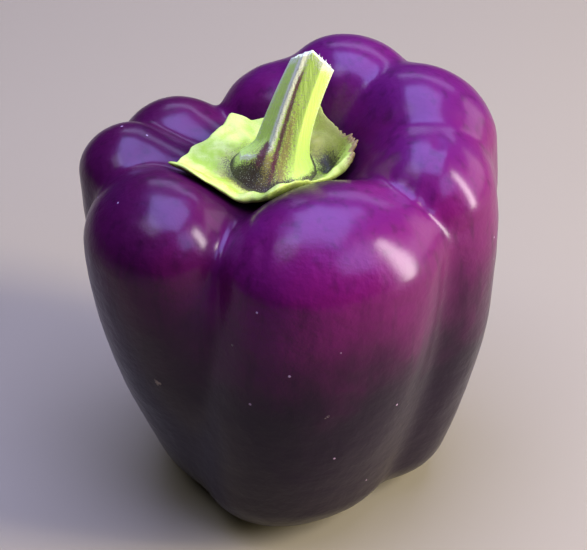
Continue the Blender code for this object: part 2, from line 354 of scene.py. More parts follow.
@dataclass(frozen=True)
class WaxySkin:
    """Cuticle of a purple pepper: a clear waxy film over flesh full of violet pigment."""

    shade: str = "#130511"
    top_tone_and_light: str = "#5C0C46"
    crest: str = "#521049"
    fleck: str = "#B497AA"
    cork: str = "#7F7269"
    sheen: str = "#C79BFF"
    ior: float = 1.45
    sheen_level: float = 0.13
    film: float = 0.46
    film_ior: float = 1.42
    film_roughness: float = 0.21
    skin_roughness: float = 0.38
    top_tone_and_light_heights: tuple[float, float] = (44 * MM, 84 * MM)  # shade turns to the paler top between them; partly the skin's own tone, partly painted light from above
    crest_heights: tuple[float, float] = (84 * MM, 98 * MM)  # and the paler top turns to crest between these
    pore_spacing: float = 6 * MM

    def material(self) -> bpy.types.Material:
        """Deep purple, redder and paler towards the top, partly as painted light from above, darkened on
        the left and in the sunken top as painted shade, with breathing pores and corky scars.

        Returns:
            The material.
        """
        f = Finish("pepper_cuticle")
        at = f.add("TexCoord", output="Object")
        height = f.add("SeparateXYZ", None, {"Vector": at}, "Z")
        right = f.add("SeparateXYZ", None, {"Vector": at}, "X")
        # The pigment thins in soft clouds about 14 mm across, and in faint streaks down the lobes.
        clouds = f.add("TexNoise", None, {"Vector": at, "Scale": 1 / (14 * MM), "Detail": 3.0}, "Fac")
        drawn = f.add("Mapping", None, {"Vector": at, "Scale": (1.0, 1.0, 0.12)})
        streaks = f.add("TexNoise", None, {"Vector": drawn, "Scale": 1 / (2.6 * MM), "Detail": 3.0}, "Fac")
        streaky = f.add("MapRange", SMOOTH, {"Value": streaks, "From Min": 0.5, "From Max": 0.75})
        uneven = f.add("Math", SUBTRACT, {0: clouds, 1: 0.5})
        wander = f.add("Math", MULTIPLY, {0: uneven, 1: 26 * MM})
        level = f.add("Math", ADD, {0: height, 1: wander})
        # Paler towards the top: partly the skin's own tone, partly painted light falling from above.
        start, end = self.top_tone_and_light_heights
        top_tone_and_light = f.add("MapRange", SMOOTH, {"Value": level, "From Min": start, "From Max": end})
        start, end = self.crest_heights
        crest = f.add("MapRange", SMOOTH, {"Value": level, "From Min": start, "From Max": end})
        # Painted shade: the left-hand side, away from the lights, is darkened.
        side = f.add("Math", ADD, {0: right, 1: wander})
        left = f.add("MapRange", SMOOTH, {"Value": side, "From Min": 6 * MM, "From Max": -34 * MM})
        # Painted shade: the skin is darkened down in the sunken top, round the calyx.
        sunken = f.add("Attribute", {"attribute_name": "sunken"}, output="Fac")
        # Breathing pores are 0.3 to 0.6 mm wide and some 6 mm apart.
        scatter = {"Vector": at, "Scale": 1 / self.pore_spacing}
        from_pore = f.add("TexVoronoi", None, scatter, "Distance")
        lot = f.add("SeparateColor", None, {"Color": f.add("TexVoronoi", None, scatter, "Color")}, "Red")
        chosen = f.add("MapRange", SMOOTH, {"Value": lot, "From Min": 0.45, "From Max": 0.6})
        spot = f.add("MapRange", SMOOTH, {"Value": from_pore, "From Min": 0.065, "From Max": 0.035})
        pore = f.add("Math", MULTIPLY, {0: spot, 1: chosen})
        # Cork has a broken edge, so its mark is weighed against noise 0.8 mm across.
        crumbs = f.add("TexNoise", None, {"Vector": at, "Scale": 1 / (0.8 * MM), "Detail": 3.0}, "Fac")
        scarred = f.add("Attribute", {"attribute_name": "cork"}, output="Fac")
        crumbly = f.add("Math", MULTIPLY, {0: crumbs, 1: 0.8})
        broken = f.add("Math", ADD, {0: scarred, 1: crumbly})
        cork = f.add("MapRange", SMOOTH, {"Value": broken, "From Min": 0.8, "From Max": 1.0})
        # The paler top is partly painted light; the left-hand side and the sunken top are darkened as
        # painted shade.
        coats = (
            (self.top_tone_and_light, top_tone_and_light),
            (self.crest, crest),
            (self.shade, f.add("Math", MULTIPLY, {0: left, 1: 0.6})),
            (self.shade, f.add("Math", MULTIPLY, {0: streaky, 1: 0.35})),
            (self.shade, f.add("Math", MULTIPLY, {0: sunken, 1: 0.8})),
            (self.fleck, f.add("Math", MULTIPLY, {0: pore, 1: 0.75})),
            (self.cork, cork),
        )
        # Soft dimples 3.5 mm across make each reflection's outline wander.
        dimples = f.add("TexNoise", None, {"Vector": at, "Scale": 1 / (3.5 * MM), "Detail": 3.0}, "Fac")
        # Cells of the skin are far finer; drawn 0.5 mm wide, they soften that outline.
        cells = f.add("TexNoise", None, {"Vector": at, "Scale": 1 / (0.5 * MM), "Detail": 1.0}, "Fac")
        rough_cork = f.add("Math", MULTIPLY, {0: crumbs, 1: cork})
        reliefs = (
            (dimples, 0.3 * MM),
            (cells, 0.008 * MM),
            (pore, 0.05 * MM),
            (rough_cork, 0.25 * MM),
        )
        dulled = f.add("Math", MULTIPLY, {0: cork, 1: 0.5})
        inputs = {
            "Base Color": f.coated(self.shade, coats),
            "Roughness": f.add("Math", ADD, {0: dulled, 1: self.skin_roughness}),
            "IOR": self.ior,
            "Specular IOR Level": self.sheen_level,
            "Specular Tint": self.sheen,
            "Coat Weight": self.film,
            "Coat IOR": self.film_ior,
            "Coat Roughness": self.film_roughness,
            "Normal": f.embossed(reliefs),
        }
        f.feed(f.shader, inputs)
        return f.material


@dataclass(frozen=True)
class SepalLeaf:
    """Leaf tissue of the calyx: thick, soft and matt, stained where it joins the stem."""

    green: str = "#99B835"
    pale: str = "#B9CB63"
    olive: str = "#7E7532"
    stain: str = "#261F17"
    torn: str = "#7E673F"
    roughness: float = 0.55
    glow: float = 0.12

    def material(self) -> bpy.types.Material:
        """Yellow-green with paler veins, an olive side flap, olive painted shade round the stem's foot, a
        dark foot and a brown torn edge.

        Returns:
            The material.
        """
        f = Finish("sepal_leaf")
        at = f.add("TexCoord", output="Object")
        # Clouds are 4 mm across; specks are 0.3 mm across, where real cells are far finer.
        clouds = f.add("TexNoise", None, {"Vector": at, "Scale": 1 / (4 * MM), "Detail": 3.0}, "Fac")
        specks = f.add("TexNoise", None, {"Vector": at, "Scale": 1 / (0.3 * MM), "Detail": 3.0}, "Fac")
        uneven = f.add("Math", SUBTRACT, {0: specks, 1: 0.5})
        mottled = f.add("Math", ADD, {0: clouds, 1: f.add("Math", MULTIPLY, {0: uneven, 1: 0.4})})
        paler = f.add("MapRange", SMOOTH, {"Value": mottled, "From Min": 0.36, "From Max": 0.66})
        vein = f.add("Attribute", {"attribute_name": "vein"}, output="Fac")
        veined = f.add("Math", MULTIPLY, {0: vein, 1: 0.6})
        tone = f.coated(self.green, ((self.pale, paler), (self.pale, veined)))
        # The painted shade round the foot and the stains break up into those specks at their edges.
        fine = f.add("Math", MULTIPLY, {0: uneven, 1: 1.3})
        soft = f.add("Math", MULTIPLY, {0: clouds, 1: 0.3})
        patchy = f.add("Math", ADD, {0: fine, 1: soft})
        coats = (
            ("olive", self.olive, 0.75),
            ("stain", self.stain, 0.92),
            ("torn", self.torn, 0.95),
        )
        tone = f.marked(tone, coats, patchy, 0.3)
        bumps = f.embossed(((clouds, 0.35 * MM), (specks, 0.06 * MM)))
        return f.tissue(tone, bumps, self.roughness, self.glow)


@dataclass(frozen=True)
class RibbedStalk:
    """Fibrous stalk: green rind over pale ribs, streaked with purple, pale where it was cut."""

    green: str = "#A1C24A"
    bright: str = "#B4D25E"
    rib: str = "#D4D7B4"
    freckle: str = "#826B3E"
    streak: str = "#5E1C3A"
    stain: str = "#2D2119"
    pith: str = "#CED4AB"
    roughness: float = 0.5
    glow: float = 0.1

    def material(self) -> bpy.types.Material:
        """Green faces, whitish ribs, purple-brown streaks with broken edges and a fibrous cut.

        Returns:
            The material.
        """
        f = Finish("ribbed_stalk")
        at = f.add("TexCoord", output="Object")
        # Fibres run up the stalk. They are drawn 0.6 mm apart, coarser than real ones.
        drawn = f.add("Mapping", None, {"Vector": at, "Scale": (1.0, 1.0, 0.1)})
        fibres = f.add("TexNoise", None, {"Vector": drawn, "Scale": 1 / (0.6 * MM), "Detail": 3.0}, "Fac")
        specks = f.add("TexNoise", None, {"Vector": at, "Scale": 1 / (0.3 * MM), "Detail": 3.0}, "Fac")
        clouds = f.add("TexNoise", None, {"Vector": at, "Scale": 1 / (3 * MM), "Detail": 2.0}, "Fac")
        fibrous = f.add("MapRange", SMOOTH, {"Value": fibres, "From Min": 0.3, "From Max": 0.75})
        lit = f.add("Attribute", {"attribute_name": "lit"}, output="Fac")
        brightened = f.add("Math", MULTIPLY, {0: lit, 1: 0.75})
        tone = f.coated(self.green, ((self.bright, fibrous), (self.bright, brightened)))
        # Each mark breaks up into specks 0.3 mm across at its edges.
        uneven = f.add("Math", SUBTRACT, {0: specks, 1: 0.5})
        fine = f.add("Math", MULTIPLY, {0: uneven, 1: 1.9})
        soft = f.add("Math", MULTIPLY, {0: clouds, 1: 0.3})
        patchy = f.add("Math", ADD, {0: fine, 1: soft})
        coats = (
            ("rib", self.rib, 0.9),
            ("freckle", self.freckle, 0.85),
            ("streak", self.streak, 0.9),
            ("stain", self.stain, 0.94),
            ("cut", self.pith, 1.0),
        )
        tone = f.marked(tone, coats, patchy, 0.25)
        bumps = f.embossed(((fibres, 0.12 * MM), (specks, 0.05 * MM)))
        return f.tissue(tone, bumps, self.roughness, self.glow)


@dataclass(frozen=True)
class PaperSweep:
    """Seamless matt paper under the object."""

    colour: str = "#8E8567"
    roughness: float = 0.8

    def material(self) -> bpy.types.Material:
        """Even pale warm grey.

        Returns:
            The material.
        """
        f = Finish("paper_sweep")
        f.feed(f.shader, {"Base Color": self.colour, "Roughness": self.roughness})
        return f.material


# ---------------------------------------------------------------- fruit


@dataclass(frozen=True)
class Lobe:
    """One swelling of the fruit: round cones run from its shoulder down to its tip and in to its root."""

    azimuth: float  # where its shoulder stands
    out: float  # how far its shoulder stands beyond the ring of shoulders
    up: float  # how far it stands above them
    radius: float
    breadth: float  # how much broader it is round the fruit than across
    tip_azimuth: float
    tip_out: float  # how far its tip stands beyond the ring of tips
    tip_up: float  # how far its tip stays above the others
    tip_radius: float
    root_azimuth: float  # where its root, under the calyx, stands


LOBES = (
    Lobe(22, -5.5 * MM, -4.0 * MM, 15.5 * MM, 1.4, 7, 3.0 * MM, -0.8 * MM, 14.5 * MM, 38),
    Lobe(-58, 1.0 * MM, -2.5 * MM, 13.0 * MM, 1.2, -56, -1.5 * MM, 0.3 * MM, 14 * MM, -46),
    Lobe(-99, 4.5 * MM, 0.0 * MM, 9.0 * MM, 1.1, -95, -1.5 * MM, 0.6 * MM, 12 * MM, -92),
    Lobe(-129, 1.5 * MM, -4.5 * MM, 10.5 * MM, 1.1, -130, -1.0 * MM, 0.3 * MM, 13 * MM, -130),
    Lobe(180, -2.5 * MM, -1.0 * MM, 12.5 * MM, 1.1, -170, -1.0 * MM, 0.3 * MM, 13 * MM, 180),
    Lobe(152, 0.5 * MM, 6.0 * MM, 13.5 * MM, 1.1, 150, 0.0 * MM, 0.0 * MM, 13 * MM, 150),
    Lobe(114, 3.0 * MM, 5.0 * MM, 14.0 * MM, 1.15, 110, 3.0 * MM, 0.0 * MM, 13 * MM, 116),
    Lobe(83, 0.5 * MM, 2.0 * MM, 12.5 * MM, 1.1, 74, 5.0 * MM, -0.6 * MM, 13 * MM, 84),
)


def round_cone_distance(
    points: Points, start: Points, end: Points, start_radius: float, end_radius: float
) -> Values:
    """Distance to the skin of the hull round two spheres; negative inside.

    Args:
        points: where it is measured.
        start: the first sphere's middle.
        end: the second sphere's middle.
        start_radius: the first sphere's radius.
        end_radius: the second sphere's radius.

    Returns:
        One distance for each point.
    """
    axis = end - start
    length_sq = axis @ axis
    taper = start_radius - end_radius
    slant_sq = length_sq - taper * taper
    offset = points - start
    along = offset @ axis
    beyond = along - length_sq
    across_sq = ((offset * length_sq - along[:, None] * axis) ** 2).sum(axis=1)
    along_sq = along * along * length_sq
    beyond_sq = beyond * beyond * length_sq
    edge = np.sign(taper) * taper * taper * across_sq
    past_end = np.sign(beyond) * slant_sq * beyond_sq > edge
    before_start = np.sign(along) * slant_sq * along_sq < edge
    to_end = np.sqrt(across_sq + beyond_sq) / length_sq - end_radius
    to_start = np.sqrt(across_sq + along_sq) / length_sq - start_radius
    to_side = (np.sqrt(across_sq * slant_sq / length_sq) + along * taper) / length_sq - start_radius
    return np.where(past_end, to_end, np.where(before_start, to_start, to_side))


@dataclass(frozen=True)
class Skin:
    """The fruit's outer surface: lobes that run smoothly together round a core of flesh."""

    shoulder_reach: float = 29 * MM  # radius of the ring of shoulders
    shoulder_height: float = 80 * MM  # of the ring of shoulders
    tip_reach: float = 19 * MM  # radius of the ring of tips
    root_reach: float = 13 * MM  # radius of the ring of roots
    root_radius: float = 6 * MM
    root_rise: float = 1.0 * MM  # of the roots above the sunken floor
    belly_swell: float = 0.20  # how much wider the fruit is half way up
    crest_rise: float = 20 * MM  # of the tallest crest above the shoulders
    softness_top: float = 1.3 * MM  # how softly lobes meet at the top
    softness_foot: float = 2.5 * MM  # and at the foot
    pressed_depth: float = 0.7 * MM  # of the flats that it stands on
    blend_growth: float = 1.0 * MM  # how far blending pushes the tips out
    heart_shortfall: float = 5.0 * MM  # of the core inside the shoulders
    heart_foot_radius: float = 22 * MM
    heart_top_rise: float = -0.5 * MM
    heart_hollow: float = 7 * MM  # height of its underside
    heart_edge: float = 12 * MM  # rounding of its edges
    heart_softness: float = 1.5 * MM
    heart_fall: float = 0.12  # slope of its top, down to the front
    settle_steps: int = 30
    settle_ease: float = 0.85  # share of the measured distance in one step

    def lobe_distance(self, points: Points, lobe: Lobe) -> Values:
        """Distance to one lobe, measured as if it were no broader than it is deep.

        Args:
            points: where it is measured.
            lobe: the lobe.

        Returns:
            One distance for each point.
        """
        sideways = heading(lobe.azimuth + 90)
        shoulder = heading(lobe.azimuth) * (self.shoulder_reach + lobe.out)
        shoulder[2] = self.shoulder_height + lobe.up
        tip = heading(lobe.tip_azimuth) * (self.tip_reach + lobe.tip_out)
        tip[2] = lobe.tip_radius + self.blend_growth - self.pressed_depth + lobe.tip_up
        root = heading(lobe.root_azimuth) * self.root_reach
        root[2] = self.shoulder_height + self.heart_top_rise + self.root_rise - self.root_radius
        narrowing = 1 / lobe.breadth - 1
        points = points + ((points - shoulder) @ sideways * narrowing)[:, None] * sideways
        tip = tip + (tip - shoulder) @ sideways * narrowing * sideways
        root = root + (root - shoulder) @ sideways * narrowing * sideways
        outer = round_cone_distance(points, shoulder, tip, lobe.radius, lobe.tip_radius)
        inner = round_cone_distance(points, shoulder, root, lobe.radius, self.root_radius)
        return np.minimum(outer, inner)

    def heart_distance(self, points: Points) -> Values:
        """Distance to the flesh between the lobes, whose flat top is the sunken floor.

        Args:
            points: where it is measured.

        Returns:
            One distance for each point.
        """
        top = self.shoulder_height + self.heart_top_rise
        share = np.clip((points[:, 2] - self.heart_hollow) / (top - self.heart_hollow), 0, 1)
        top_radius = self.shoulder_reach - self.heart_shortfall
        radius = self.heart_foot_radius + (top_radius - self.heart_foot_radius) * share
        across = np.hypot(points[:, 0], points[:, 1]) - radius + self.heart_edge
        level = points[:, 2] - self.heart_fall * points[:, 1] - (top + self.heart_hollow) / 2
        upright = np.abs(level) - (top - self.heart_hollow) / 2 + self.heart_edge
        outside = np.hypot(np.maximum(across, 0), np.maximum(upright, 0))
        return outside + np.minimum(np.maximum(across, upright), 0) - self.heart_edge

    def distance(self, points: Points) -> Values:
        """Distance to the skin; negative inside.

        Args:
            points: where it is measured.

        Returns:
            One distance for each point.
        """
        height_share = np.clip(points[:, 2] / (self.shoulder_height + self.crest_rise), 0, 1)
        swell = 1 + self.belly_swell * np.sin(math.pi * height_share)
        points = points / np.stack([swell, swell, np.ones_like(swell)], axis=1)
        softness = self.softness_foot + (self.softness_top - self.softness_foot) * height_share
        near = [self.lobe_distance(points, lobe) for lobe in LOBES]
        least = np.minimum.reduce(near)
        total = sum(np.exp((least - one) / softness) for one in near)
        lobes = least - softness * np.log(total)
        heart = self.heart_distance(points)
        apart = np.abs(lobes - heart)
        blend = self.heart_softness * np.log1p(np.exp(-apart / self.heart_softness))
        return np.minimum(lobes, heart) - blend

    def height(self, x: Values, y: Values) -> Values:
        """Height of the skin's top over each place.

        Args:
            x: the places' distances to the right.
            y: the places' distances to the back.

        Returns:
            One height for each place.
        """
        z = np.full_like(x, self.shoulder_height + 2 * self.crest_rise)
        for _ in range(2 * self.settle_steps):
            z = z - self.settle_ease * self.distance(np.stack([x, y, z], axis=1))
        return z

    def settle(self, mesh: bmesh.types.BMesh, steps: int) -> None:
        """Moves each point of a bmesh along its normal until it lies on the skin.

        Args:
            mesh: the bmesh.
            steps: how many steps each point takes.
        """
        start = positions(mesh)
        normals = normals_of(mesh)
        travel = np.zeros(len(start))
        for _ in range(steps):
            travel -= self.settle_ease * self.distance(start + normals * travel[:, None])
        place(mesh, start + normals * travel[:, None])


@dataclass(frozen=True)
class Crease:
    """A shallow fold in the skin along a straight line between two places."""

    start: tuple[float, float, float]
    end: tuple[float, float, float]
    width: float
    depth: float

    def share(self, points: Points) -> Values:
        """How far points lie in the fold.

        Args:
            points: the places asked about.

        Returns:
            A share from 0 to 1 for each point.
        """
        start = np.array(self.start)
        along = np.array(self.end) - start
        place_on = np.clip((points - start) @ along / (along @ along), 0, 1)
        away = np.linalg.norm(points - start - place_on[:, None] * along, axis=1)
        fade = np.sin(np.clip(place_on, 0.02, 0.98) * math.pi) ** 0.5
        return bump(away, self.width) * fade


@dataclass(frozen=True)
class Scar:
    """A spot where the skin has healed as cork."""

    centre: tuple[float, float, float]
    radius: float
    strength: float  # 1 for thick cork, less for a faint one


@dataclass
class Fruit:
    """The fruit: a rough apple settled on to the lobed skin, then roughened as a grown thing is."""

    skin: Skin = field(default_factory=Skin)
    waxy: WaxySkin = field(default_factory=WaxySkin)
    segments: int = 72
    rings: int = 44
    refinings: int = 2  # times each face is cut in four
    apple_wall: float = 12 * MM  # of the apple beyond the shoulders
    dent_radius: float = 22 * MM
    hollow_radius: float = 12 * MM
    roundness_across: float = 0.8
    roundness_up: float = 0.6
    swell_height: float = 0.35 * MM  # of lumps 16 mm across
    ripple_height: float = 0.09 * MM  # of lumps 5 mm across
    flute_height: float = 0.05 * MM  # of flutes down the lobes, 4 mm apart
    cork_rise: float = 0.25 * MM  # of a scar above the skin
    settlings: int = 3  # how often the coarse mesh is evened out and settled again
    fine_steps: int = 8  # steps of each settling once the mesh is fine
    sunken_shade_reach: tuple[float, float] = (27 * MM, 16 * MM)  # from here to there the skin is darkened as painted shade
    sunken_shade_level: tuple[float, float] = (70 * MM, 76 * MM)  # and only from here to there upwards
    creases: tuple[Crease, ...] = (
        Crease((-22 * MM, -22 * MM, 88 * MM), (-31 * MM, -29 * MM, 82 * MM), 1.5 * MM, 0.45 * MM),
        Crease((33 * MM, -4 * MM, 95 * MM), (28 * MM, -20 * MM, 84 * MM), 1.5 * MM, 0.6 * MM),
        Crease((26 * MM, -14 * MM, 89 * MM), (25 * MM, -19 * MM, 84 * MM), 1.2 * MM, 0.3 * MM),
        Crease((41 * MM, -12 * MM, 80 * MM), (36 * MM, -19 * MM, 78 * MM), 1.0 * MM, 0.3 * MM),
        Crease((-6 * MM, -31 * MM, 88 * MM), (-5 * MM, -38 * MM, 80 * MM), 1.6 * MM, 0.25 * MM),
    )
    scars: tuple[Scar, ...] = (
        Scar((-29.0 * MM, -32.1 * MM, 47.3 * MM), 1.1 * MM, 1.0),
        Scar((8.2 * MM, -43.9 * MM, 47.8 * MM), 1.6 * MM, 0.5),
        Scar((-11.9 * MM, -39.4 * MM, 64.1 * MM), 0.8 * MM, 0.6),
        Scar((33.2 * MM, -23.5 * MM, 45.1 * MM), 0.6 * MM, 1.2),
        Scar((26.4 * MM, -31.7 * MM, 42.2 * MM), 0.6 * MM, 1.2),
    )

    def apple(self, unit: Points) -> Points:
        """Dents a sphere above and below into a rough apple of the fruit's size.

        Args:
            unit: points of a unit sphere.

        Returns:
            Where those points go.
        """
        skin = self.skin
        angle = np.radians(azimuth_of(unit[:, 0], unit[:, 1]))
        crest = skin.shoulder_height + skin.crest_rise
        half_width = skin.shoulder_reach * (1 + skin.belly_swell) + self.apple_wall
        reach = half_width * np.hypot(unit[:, 0], unit[:, 1]) ** self.roundness_across
        rise = np.sign(unit[:, 2]) * np.abs(unit[:, 2]) ** self.roundness_up
        dent = (skin.crest_rise - skin.heart_top_rise) * bump(reach, self.dent_radius)
        hollow = skin.heart_hollow * bump(reach, self.hollow_radius)
        height = crest / 2 * (1 + rise) + np.where(rise > 0, -dent, hollow)
        return np.stack([reach * np.sin(angle), -reach * np.cos(angle), height], axis=1)

    def settled(self) -> bmesh.types.BMesh:
        """Makes the fruit's mesh on the skin, first coarse and then cut finer.

        Returns:
            The bmesh.
        """
        mesh = sphere(self.segments, self.rings)
        place(mesh, self.apple(positions(mesh)))
        self.skin.settle(mesh, self.skin.settle_steps)
        for _ in range(self.settlings):
            self.relax(mesh)
            self.skin.settle(mesh, self.skin.settle_steps)
        for _ in range(self.refinings):
            bmesh.ops.subdivide_edges(mesh, edges=mesh.edges, cuts=1, use_grid_fill=True)
            self.relax(mesh)
            self.skin.settle(mesh, self.fine_steps)
        return mesh

    def relax(self, mesh: bmesh.types.BMesh) -> None:
        """Draws each point half way to the middle of its neighbours.

        Args:
            mesh: the bmesh.
        """
        axes = {"use_axis_x": True, "use_axis_y": True, "use_axis_z": True}
        bmesh.ops.smooth_vert(mesh, verts=mesh.verts, factor=0.5, **axes)

    def grown(self, mesh: bmesh.types.BMesh) -> dict[str, Values]:
        """Adds the lumps, flutes, folds and scars, and presses the tips flat on the floor.

        Args:
            mesh: the settled fruit, in the frame.

        Returns:
            Where the skin has turned to cork, and where it lies in the sunken top, which the finish darkens
            as painted shade.
        """
        points = positions(mesh)
        normals = normals_of(mesh)
        rise = self.swell_height * rough(points, 16 * MM)
        rise += self.ripple_height * rough(points, 5 * MM)
        rise += self.flute_height * rough(points, (4 * MM, 4 * MM, 40 * MM))
        for crease in self.creases:
            rise -= crease.depth * crease.share(points)
        cork = np.zeros(len(points))
        for scar in self.scars:
            away = np.linalg.norm(points - np.array(scar.centre), axis=1)
            cork = np.maximum(cork, scar.strength * bump(away, scar.radius))
        rise += self.cork_rise * cork
        points = points + normals * rise[:, None]
        points[:, 2] = np.maximum(points[:, 2], 0.0)
        place(mesh, points)
        # Painted shade: the skin in the sunken top round the stalk is marked for darkening.
        from_stalk = np.hypot(points[:, 0] - STALK_PLACE[0], points[:, 1] - STALK_PLACE[1])
        sunken = ease(from_stalk, *self.sunken_shade_reach) * ease(points[:, 2], *self.sunken_shade_level)
        return {"cork": cork, "sunken": sunken}

    def build(self) -> tuple[bpy.types.Object, Points]:
        """Builds the fruit in its CAD solid's place.

        Returns:
            The piece, and the slide that brings the fruit's own axis on to the frame.
        """
        mesh = self.settled()
        points = positions(mesh)
        low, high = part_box("fruit")
        wanted = (np.array(low) + np.array(high)) / 2
        slide = wanted - (points.min(axis=0) + points.max(axis=0)) / 2
        slide[2] = 0.0
        place(mesh, points + slide)
        marks = self.grown(mesh)
        piece = finish("pepper_fruit", mesh, self.waxy.material(), marks)
        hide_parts("fruit")
        return piece, slide


# ---------------------------------------------------------------- calyx


@dataclass(frozen=True)
class Sepal:
    """One place on the calyx's outline."""

    azimuth: float
    reach: float  # from the stalk's axis
    curl: float = 0.0  # how far it lifts off the fruit, beyond the rest of the rim


@dataclass(frozen=True)
class Fold:
    """One swelling or hollow of the calyx's top."""

    azimuth: float
    spread: float  # how far it reaches each way round the stalk, in degrees
    share: float  # share of the way out to the rim at which it lies
    depth: float  # how far it reaches each way from there, as a share
    rise: float = 1.0  # its height; below 0 in a hollow

    def cover(self, azimuth: Values, share: Values) -> Values:
        """How far each place lies in it, from 0 to 1."""
        return bump(turn_between(azimuth, self.azimuth), self.spread) * bump(share - self.share, self.depth)


@dataclass
class SunkenTop:
    """Heights of the fruit's top, worked out once on a square grid and then read between its places."""

    skin: Skin
    reach: float = 32 * MM
    spacing: float = 0.5 * MM
    heights: Values = field(init=False)

    def __post_init__(self) -> None:
        """Fills the grid."""
        steps = np.arange(-self.reach, self.reach + self.spacing, self.spacing)
        x, y = np.meshgrid(steps, steps, indexing="ij")
        self.heights = self.skin.height(x.ravel(), y.ravel()).reshape(x.shape)

    def height(self, x: Values, y: Values) -> Values:
        """Height of the skin over each place, read straight between the grid's places.

        Args:
            x: the places' distances to the right.
            y: the places' distances to the back.

        Returns:
            One height for each place.
        """
        last = len(self.heights) - 2
        across, along = (x + self.reach) / self.spacing, (y + self.reach) / self.spacing
        i = np.clip(across.astype(int), 0, last)
        j = np.clip(along.astype(int), 0, last)
        u, v = across - i, along - j
        near = self.heights[i, j] * (1 - v) + self.heights[i, j + 1] * v
        far = self.heights[i + 1, j] * (1 - v) + self.heights[i + 1, j + 1] * v
        return near * (1 - u) + far * u


@dataclass
class Calyx:
    """The calyx: a saucer of grown-together sepals that lies in the sunken top."""

    top: SunkenTop
    leaf: SepalLeaf = field(default_factory=SepalLeaf)
    centre: tuple[float, float] = STALK_PLACE
    gap: float = 0.25 * MM  # between its underside and the fruit
    rim_thickness: float = 1.2 * MM
    middle_thickness: float = 2.8 * MM
    rim_lift: float = 1.1 * MM
    rounding: float = 0.07  # share of the way in over which the rim rounds off
    span: float = 4 * MM  # how far it bridges the grooves under it
    bridging: float = 0.3 * MM  # how softly it does so
    foot_radius: float = 9.8 * MM  # where the stem's foot ends
    vein_rise: float = 0.25 * MM
    wander: float = 0.45 * MM  # of the outline, in and out
    torn_depth: float = 1.1 * MM
    torn_azimuth: float = 100
    torn_spread: float = 20
    unevenness: float = 0.5 * MM
    folds: tuple[Fold, ...] = (
        Fold(80, 15, 0.9, 0.08, 1.7 * MM),  # raised edge on the right
        Fold(98, 15, 0.68, 0.11, -2.0 * MM),  # deep pocket inside it
        Fold(130, 20, 0.62, 0.2, 1.6 * MM),  # flap behind the pocket
        Fold(-70, 18, 0.62, 0.2, -1.0 * MM),  # trough towards the left point
    )
    lip: Fold = Fold(-15, 30, 0.88, 0.09, 1.6 * MM)  # rolled lip in front
    lip_lumps: int = 14
    pocket_stain: Fold = Fold(98, 20, 0.66, 0.16, 0.95)
    segments: int = 240
    rings: int = 120
    outline: tuple[Sepal, ...] = (
        Sepal(-180, 16.4 * MM),
        Sepal(-162, 17.4 * MM),
        Sepal(-151, 20.6 * MM, 1.6 * MM),
        Sepal(-141, 18.6 * MM),
        Sepal(-118, 18.0 * MM),
        Sepal(-96, 19.4 * MM),
        Sepal(-80, 21.8 * MM),
        Sepal(-73, 24.0 * MM, -0.3 * MM),
        Sepal(-67, 22.4 * MM),
        Sepal(-55, 20.6 * MM),
        Sepal(-38, 17.8 * MM),
        Sepal(-18, 15.8 * MM),
        Sepal(-3, 16.4 * MM, -0.3 * MM),
        Sepal(12, 14.0 * MM),
        Sepal(26, 12.4 * MM),
        Sepal(45, 11.8 * MM),
        Sepal(65, 14.2 * MM),
        Sepal(82, 17.0 * MM),
        Sepal(98, 18.6 * MM, 0.8 * MM),
        Sepal(120, 17.6 * MM),
        Sepal(140, 17.2 * MM),
        Sepal(149, 18.8 * MM, 1.2 * MM),
        Sepal(162, 17.0 * MM),
        Sepal(180, 16.4 * MM),
    )

    def reach(self, azimuth: Values) -> Values:
        """Distance from the stalk's axis to the outline.

        Args:
            azimuth: the directions asked about.

        Returns:
            One distance for each azimuth.
        """
        around = [sepal.azimuth for sepal in self.outline]
        reach = np.interp(turn_between(azimuth, 0), around, [sepal.reach for sepal in self.outline])
        angle = np.radians(azimuth)
        circle = np.stack([np.cos(angle), np.sin(angle), np.zeros_like(angle)], axis=1)
        reach = reach + self.wander * rough(circle, 0.2, 2)
        return reach + self.torn_depth * self.torn(azimuth) * rough(circle, 0.035, 2)

    def torn(self, azimuth: Values) -> Values:
        """How torn the rim is at each azimuth: only the right-hand side is."""
        return bump(turn_between(azimuth, self.torn_azimuth), self.torn_spread)

    def polar(self, x: Values, y: Values) -> tuple[Values, Values]:
        """Places as they lie on the leaf.

        Args:
            x: the places' distances to the right.
            y: the places' distances to the back.

        Returns:
            Each place's azimuth, and its share of the way out to the rim.
        """
        right, back = x - self.centre[0], y - self.centre[1]
        azimuth = azimuth_of(right, back)
        return azimuth, np.clip(np.hypot(right, back) / self.reach(azimuth), 0, 1)

    def bed(self, x: Values, y: Values) -> Values:
        """Height of the fruit under the calyx, with its grooves bridged.

        Args:
            x: the places' distances to the right.
            y: the places' distances to the back.

        Returns:
            One height for each place.
        """
        ring = [heading(azimuth) * self.span for azimuth in range(0, 360, 60)]
        around = sum(self.top.height(x + step[0], y + step[1]) for step in ring) / len(ring)
        here = self.top.height(x, y)
        return here + np.logaddexp(0, (around - here) / self.bridging) * self.bridging

    def relief(self, azimuth: Values, share: Values) -> Values:
        """Height of veins, folds and lumps above the smooth top.

        Args:
            azimuth: azimuths of the places asked about.
            share: their shares of the way out to the rim.

        Returns:
            One height for each place.
        """
        rise = np.zeros_like(azimuth)
        for sepal in self.outline:
            if sepal.curl:
                turn = turn_between(azimuth, sepal.azimuth)
                rise += self.vein_rise * bump(turn, 4) * ease(share, 0.4, 0.7) * ease(share, 1, 0.85)
        for fold in self.folds:
            rise += fold.rise * fold.cover(azimuth, share)
        angle = np.radians(azimuth)
        lumps = 0.6 + 0.4 * np.sin(angle * self.lip_lumps)
        rise += self.lip.rise * self.lip.cover(azimuth, share) * lumps
        flat = np.stack([share * np.cos(angle), share * np.sin(angle), 0 * angle], axis=1)
        return rise + self.unevenness * rough(flat, 0.25, 2) * ease(share, 0.4, 0.6)

